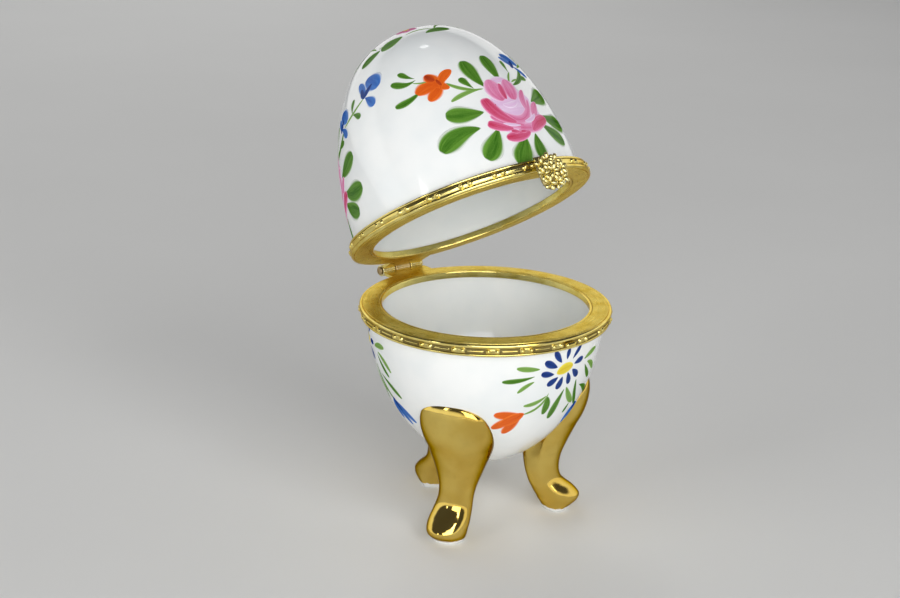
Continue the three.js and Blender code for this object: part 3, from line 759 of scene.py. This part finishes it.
def makeTurned(part, half, node, corners, radius):
    section = filleted(corners, radius)
    turns = wholeTurn(240)[:, None]
    points = revolve(section[None, :, 0], faceZ[half] + sideOf[half] * section[None, :, 1], turns)
    return addPiece(half + part, points, gridFaces(len(turns), len(section)), polishedBrass, half == "lid",
                    [half + node], {"relief": 1})


def makeBeadWire(half):
    # a rolled edge, a groove, then a band swelling by sqrt(1 - d^2), with a dome sqrt(R^2 - d^2)
    # at each bead and a slot box less a bar box cut between the pairs
    m = mount
    band = [(m["bandRadius"], d) for d in np.linspace(1.07, 2.17, 17)]
    section = np.array(m["rolledEdge"] + band + m["underside"])
    columns = m["units"] * m["unitColumns"]
    turns = math.radians(m["firstPair"]) + np.arange(columns) / columns * 2 * math.pi
    pitch = 2 * math.pi * box["rim"] / m["units"]
    along = (np.arange(columns) / m["unitColumns"]) % 1.0
    along = np.where(along > 0.5, along - 1, along) * pitch  # millimetres from the pair's middle
    depth = section[None, :, 1] - m["beadMiddle"]
    bead = np.abs(np.abs(along) - m["beadApart"] / 2)[:, None]
    dome = np.sqrt(np.clip(1 - (bead / m["beadRadius"]) ** 2 - (depth / m["beadRadius"]) ** 2, 0, 1))
    barAt = (np.abs(along) - pitch / 2)[:, None]
    slot, bar = (smoothStep((length / 2 - np.abs(barAt)) / 0.2 + 0.5)
                 * smoothStep((tall / 2 - np.abs(depth)) / 0.12 + 0.5) for length, tall in (m["slot"], m["bar"]))
    deep = 1.0 if half == "base" else 0.1  # the lid's wire is worn nearly smooth between its beads
    cut = deep * np.clip(slot - bar, 0, 1)
    swell = m["bandRise"][half] * np.sqrt(np.clip(1 - (depth / 0.56) ** 2, 0, 1))
    raised = np.maximum(dome * (box["rim"] - m["bandRadius"]), swell - cut * m["bandRise"]["base"])
    onBand = (np.abs(depth) < 0.55) & (section[None, :, 0] > m["bandRadius"] - 0.02)
    radius = section[None, :, 0] + np.where(onBand, raised, 0)
    points = revolve(radius, faceZ[half] + sideOf[half] * section[None, :, 1], turns[:, None])
    # relief marks painted shade: slots, the groove and the underside are low and darkened, and the base's band
    # between the beads half so
    relief = np.maximum(np.maximum(dome, bar), 1 - 0.68 * deep) - cut
    relief = np.where(onBand, relief, 0.1) * np.ones_like(radius)
    relief = np.where(section[None, :, 1] < 0.98, 1.0, relief)
    return addPiece(half + "BeadWire", points, gridFaces(columns, len(section)), polishedBrass, half == "lid",
                    [half + "_bead_wire"], {"relief": relief.ravel()})


for half in ("base", "lid"):
    makeFaceRing(half)
    makeBeadWire(half)
    makeTurned("InnerLip", half, "_inner_lip", mount["lip"], 0.2)
    makeTurned("BezelBand", half, "_bezel_band", mount["bezel"], 0.16)
print("mounts made")


def aroundPin(x, radius, turn):
    # a point at x along the pin and radius from it
    return joined(x, box["hingeY"] + radius * np.cos(turn), box["hingeZ"] + radius * np.sin(turn))


def makeKnuckle(name, node, which, onLid, material):
    # a rolled tube: the outer radius dips where the sheet's end meets itself
    middle, width = hinge["knuckles"][which]
    halfWidth = (width - hinge["gap"]) / 2
    section = filleted([(-halfWidth, hinge["bore"]), (-halfWidth, hinge["radius"]), (halfWidth, hinge["radius"]),
                        (halfWidth, hinge["bore"])], 0.14, 5)
    turn = wholeTurn(96)[:, None]
    seam = math.radians(200 if onLid else 160)
    away = np.abs((turn - seam + math.pi) % (2 * math.pi) - math.pi)
    outer = section[None, :, 1] > (hinge["bore"] + hinge["radius"]) / 2
    radius = section[None, :, 1] - np.where(outer, 0.1 * np.exp(-(away / 0.07) ** 2), 0)
    points = aroundPin(middle + section[None, :, 0], radius, turn)
    return addPiece(name, points, gridFaces(len(turn), len(section)), material, onLid, [node],
                    {"relief": 1})


def makePin():
    # a shaft with a domed, peened head at each end
    ends = hinge["width"] / 2 + 0.08
    head = np.array([(0.0, hinge["pin"]), (0.0, 0.7), (0.01, 0.9), (0.08, 0.94), (0.18, 0.85), (0.28, 0.62),
                     (0.34, 0.35), (0.36, 0.0)]) + (ends, 0)
    section = np.concatenate([head[::-1] * (-1, 1), head])
    turn = wholeTurn(48)[None, :]
    points = aroundPin(section[:, :1], section[:, 1:], turn)
    return addPiece("hingePin", points, gridFaces(len(section), turn.size, closeRows=False), pinBrass, False,
                    ["hinge_pin"])


makeKnuckle("baseKnuckle", "base_knuckle", "middle", False, wornBrass)
makeKnuckle("lidKnuckleLeft", "lid_knuckle_left", "left", True, hingeBrass)
makeKnuckle("lidKnuckleRight", "lid_knuckle_right", "right", True, hingeBrass)
makePin()
print("hinge made")

clasp = {
    "tongueWidth": 4.4, "tongueThickness": 0.6, "back": 29.48, "drop": 1.0, "radius": 4.3, "dome": 1.4,
    "blossoms": 9, "blossomReach": 0.66, "petals": 5, "petalReach": 0.88, "petal": (0.78, 0.5, 0.42),
    "point": 233,  # degrees, where the flower's outline is drawn out
    "studWidth": 2.8, "studRadius": 0.55,
}


def makeTongue():
    # a flat strip carried down a jogged path; its width narrows to a round end
    path = np.array([
        (28.4, 2.9), (28.4, 2.2), (28.42, 1.5), (28.5, 0.9), (28.75, 0.45), (29.02, 0.1), (29.1, -0.4), (29.1, -1.4),
        (29.1, -2.6), (29.1, -3.4), (29.1, -3.8), (29.1, -4.05), (29.1, -4.18), (29.1, -4.2)])
    scale = np.array([0.0, 0.9] + [1.0] * 9 + [0.97, 0.86, 0.66, 0.36, 0.0])
    path = np.concatenate([path[:1], path[:1], path])
    halfWidth, halfThick = clasp["tongueWidth"] / 2, clasp["tongueThickness"] / 2
    section = filleted([(-halfWidth, -halfThick), (halfWidth, -halfThick), (halfWidth, halfThick),
                        (-halfWidth, halfThick)], 0.18, 4)
    x = section[None, :, 0] * scale[:, None]
    thick = section[None, :, 1] * np.minimum(1, scale[:, None] * 3)
    out = path[:, :1] + thick
    points = joined(x, -out, box["lidFace"] + path[:, 1:])
    return addPiece("claspTongue", points, gridFaces(len(path), len(section), closeRows=False), polishedBrass, True,
                    ["clasp_tongue"], {"relief": 1})


def flowerOutline(turn):
    # a rounded diamond drawn out to a point at the lower left
    tip = math.radians(clasp["point"])
    lobe = np.cos(2 * (turn - tip)) ** 2
    point = np.exp(-((np.abs((turn - tip + math.pi) % (2 * math.pi) - math.pi)) / 0.42) ** 2)
    return clasp["radius"] * (0.9 + 0.07 * lobe + 0.12 * point)


def makeClaspFlower():
    # a shallow boss, with blossoms of five petals each; every petal is a small ellipsoid
    # turned away from the middle of its blossom
    draw = np.random.default_rng(5)
    rings = 0.9 * np.array([0.0, 0.3, 0.55, 0.75, 0.9, 0.98, 1.0, 0.97, 0.6, 0.0])[:, None]
    rise = clasp["dome"] * np.array([0.72, 0.69, 0.6, 0.46, 0.3, 0.15, 0.04, 0.0, 0.0, 0.0])[:, None]
    turn = wholeTurn(64)[None, :]
    reach = rings * flowerOutline(turn)
    ripple = 0.06 * np.sin(reach * 7) * np.cos(turn * 11) * (rings < 0.95)
    boss = joined(reach * np.cos(turn), -(rise + ripple), reach * np.sin(turn))
    bossFaces = gridFaces(10, 64, closeRows=False)

    around = np.arange(clasp["blossoms"] - 1) / (clasp["blossoms"] - 1) * 2 * math.pi + math.radians(clasp["point"])
    spotTurn = np.concatenate([[0.0], around])
    spotReach = np.concatenate([[0.0], clasp["blossomReach"] * flowerOutline(around)])
    spot = np.stack([spotReach * np.cos(spotTurn), spotReach * np.sin(spotTurn)], -1)
    spin = draw.random(len(spot)) * 2 * math.pi
    angle = spin[:, None] + np.arange(clasp["petals"]) / clasp["petals"] * 2 * math.pi
    angle = angle + draw.normal(0, 0.12, angle.shape)
    grow = 1 + draw.normal(0, 0.08, angle.shape)
    centre = spot[:, None] + clasp["petalReach"] * grow[..., None] * np.stack([np.cos(angle), np.sin(angle)], -1)
    centre, angle, grow = centre.reshape(-1, 2), angle.ravel(), grow.ravel()
    away = np.hypot(centre[:, 0], centre[:, 1])
    limit = flowerOutline(np.arctan2(centre[:, 1], centre[:, 0])) - 0.35
    centre = centre * np.minimum(1, limit / np.maximum(away, 1e-6))[:, None]
    share = np.clip(np.hypot(centre[:, 0], centre[:, 1]) / clasp["radius"], 0, 1)
    level = clasp["dome"] * (0.82 - 0.62 * share ** 2.4) + draw.normal(0, 0.06, share.shape)
    lat = np.linspace(0, math.pi, 7)[:, None]
    lon = wholeTurn(10)[None, :]
    length, width, tall = clasp["petal"]
    px = length * np.cos(lat) * np.ones_like(lon)
    py = width * np.sin(lat) * np.cos(lon) * (1 + 0.25 * np.cos(lat))
    pz = tall * np.sin(lat) * np.sin(lon)
    px, py, pz = (v.ravel()[None, :] * grow[:, None] for v in (px, py, pz))
    c, s = np.cos(angle)[:, None], np.sin(angle)[:, None]
    x = centre[:, :1] + px * c - py * s
    up = centre[:, 1:] + px * s + py * c
    out = level[:, None] + pz + 0.12 * px
    out = np.maximum(out, 0.02)
    petals = joined(x, -out, up).reshape(-1, 3)
    petalFaces = gridFaces(7, 10, closeRows=False, copies=len(centre)) + boss.size // 3
    points = np.concatenate([boss.reshape(-1, 3), petals])
    # relief marks painted shade: the boss between the petals and the petals' undersides are low and darkened
    relief = np.concatenate([np.full(boss.size // 3, 0.1), np.clip((pz / tall).ravel() * 0.9 + 0.35, 0, 1)])
    points = points + np.array([0, -clasp["back"], box["lidFace"] - clasp["drop"]])
    return addPiece("claspFlower", points, np.concatenate([bossFaces, petalFaces]), castBrass, True,
                    ["clasp_flower"], {"relief": relief})


def makeStud():
    # a small lug across the wire, rounder at its ends
    u = np.linspace(-1, 1, 22)[:, None]
    turn = wholeTurn(20)[None, :]
    thick = clasp["studRadius"] * np.clip(1 - np.abs(u) ** 5, 0, 1) ** 0.5
    out = box["rim"] - 0.08 + thick * np.cos(turn)
    up = box["baseFace"] - mount["beadMiddle"] + thick * np.sin(turn) * 0.95
    points = joined(u * clasp["studWidth"] / 2, -out, up)
    return addPiece("catchStud", points, gridFaces(22, 20, closeRows=False), polishedBrass, False,
                    ["catch_stud"], {"relief": 1})


makeTongue()
makeClaspFlower()
makeStud()
print("clasp made")

stage = {"size": 6.0, "colour": (0.80, 0.80, 0.78), "shade": (0.76, 0.76, 0.74)}


def makeFloor():
    material, tree, shader = startMaterial("paperFloor", {"Roughness": 0.9, "Specular IOR Level": 0.05})
    spot = addNode(tree, "ShaderNodeTexCoord").outputs["Object"]
    feed(tree, shader, {
        "Base Color": blendColours(tree, noise(tree, spot, 9.0, 3.0), stage["colour"], stage["shade"]),
        "Normal": bump(tree, noise(tree, spot, 900.0, 2.0), 0.08, 0.0002)})
    half = stage["size"] / 2
    mesh = bpy.data.meshes.new("floor")
    mesh.from_pydata([(-half, -half, 0), (half, -half, 0), (half, half, 0), (-half, half, 0)], [], [(0, 1, 2, 3)])
    mesh.materials.append(material)
    floor = bpy.data.objects.new("floor", mesh)
    bpy.context.scene.collection.objects.link(floor)


def addSoftbox(name, spot, size, power, mirrored=True, target=(0, 0, 0.05)):
    # mirrored says whether the glaze and the metal show the box's reflection
    data = bpy.data.lights.new(name, "AREA")
    data.shape, data.size, data.size_y = "RECTANGLE", size[0], size[1]
    data.energy = power
    light = bpy.data.objects.new(name, data)
    light.location = spot
    light.visible_glossy = mirrored
    light.rotation_mode = "QUATERNION"
    light.rotation_quaternion = (Vector(target) - Vector(spot)).to_track_quat("-Z", "Y")
    bpy.context.scene.collection.objects.link(light)


def makeWorld():
    # a pale backdrop behind the box and a dark room above and in front of it;
    # the backdrop's top edge sinks from far to near
    world = bpy.data.worlds.new("studio")
    bpy.context.scene.world = world
    world.use_nodes = True
    tree = world.node_tree
    spot = addNode(tree, "ShaderNodeTexCoord").outputs["Generated"]
    toward = split(tree, spot)
    near = plus(tree, times(tree, toward["X"], -0.63), times(tree, toward["Y"], -0.78))
    above = calc(tree, "SUBTRACT", toward["Z"], ramp(tree, near, -0.5, 0.6, 0.42, 0.10))
    colour = blendColours(tree, ramp(tree, above, 0.0, 0.16), (0.97, 0.97, 0.96), (0.07, 0.07, 0.08))
    feed(tree, tree.nodes["Background"], {"Color": colour})
    tree.nodes["Background"].inputs["Strength"].default_value = 1.05


camera = {"azimuth": -39.0, "elevation": 18.3, "roll": 1.37, "distance": 396.0, "lens": 72.24,
          "aimSide": -7.83, "aimHeight": 50.16}


def makeCamera():
    a, e, r = (math.radians(camera[k]) for k in ("azimuth", "elevation", "roll"))
    back = np.array([math.sin(a) * math.cos(e), -math.cos(a) * math.cos(e), math.sin(e)])
    right = np.array([math.cos(a), math.sin(a), 0.0])
    up = np.cross(back, right)
    turnedRight = math.cos(r) * right + math.sin(r) * up
    turnedUp = math.cos(r) * up - math.sin(r) * right
    aim = np.array([0, box["axisY"], camera["aimHeight"]]) + right * camera["aimSide"]
    spot = (aim + back * camera["distance"]) * mm
    data = bpy.data.cameras.new("camera")
    data.lens, data.sensor_width = camera["lens"], 36.0
    data.clip_start, data.clip_end = 0.02, 20
    made = bpy.data.objects.new("camera", data)
    axes = np.stack([turnedRight, turnedUp, back, spot], 1)
    made.matrix_world = Matrix([*axes.tolist(), (0, 0, 0, 1)])
    bpy.context.scene.collection.objects.link(made)
    bpy.context.scene.camera = made


makeFloor()
makeWorld()
addSoftbox("keyLight", (-0.38, -0.92, 0.5), (1.1, 0.7), 8.4)
addSoftbox("fillLight", (-0.85, 0.15, 0.4), (0.6, 0.5), 1.6, mirrored=False)
addSoftbox("lowLight", (-0.42, -0.62, 0.04), (0.6, 0.06), 0.9, mirrored=False, target=(0, 0, 0.07))
addSoftbox("leftWindow", (-0.86, -0.09, 0.35), (0.1, 0.25), 0.35)
addSoftbox("rightWindow", (0.05, -0.68, 0.66), (0.2, 0.1), 0.5)
addSoftbox("topWindow", (0.14, 0.48, 0.94), (0.1, 0.07), 0.08)
addSoftbox("rearLight", (0.4, 0.8, 0.55), (0.5, 0.3), 1.6, mirrored=False)
makeCamera()
bpy.context.scene.view_settings.view_transform = "Standard"
print("stage set")
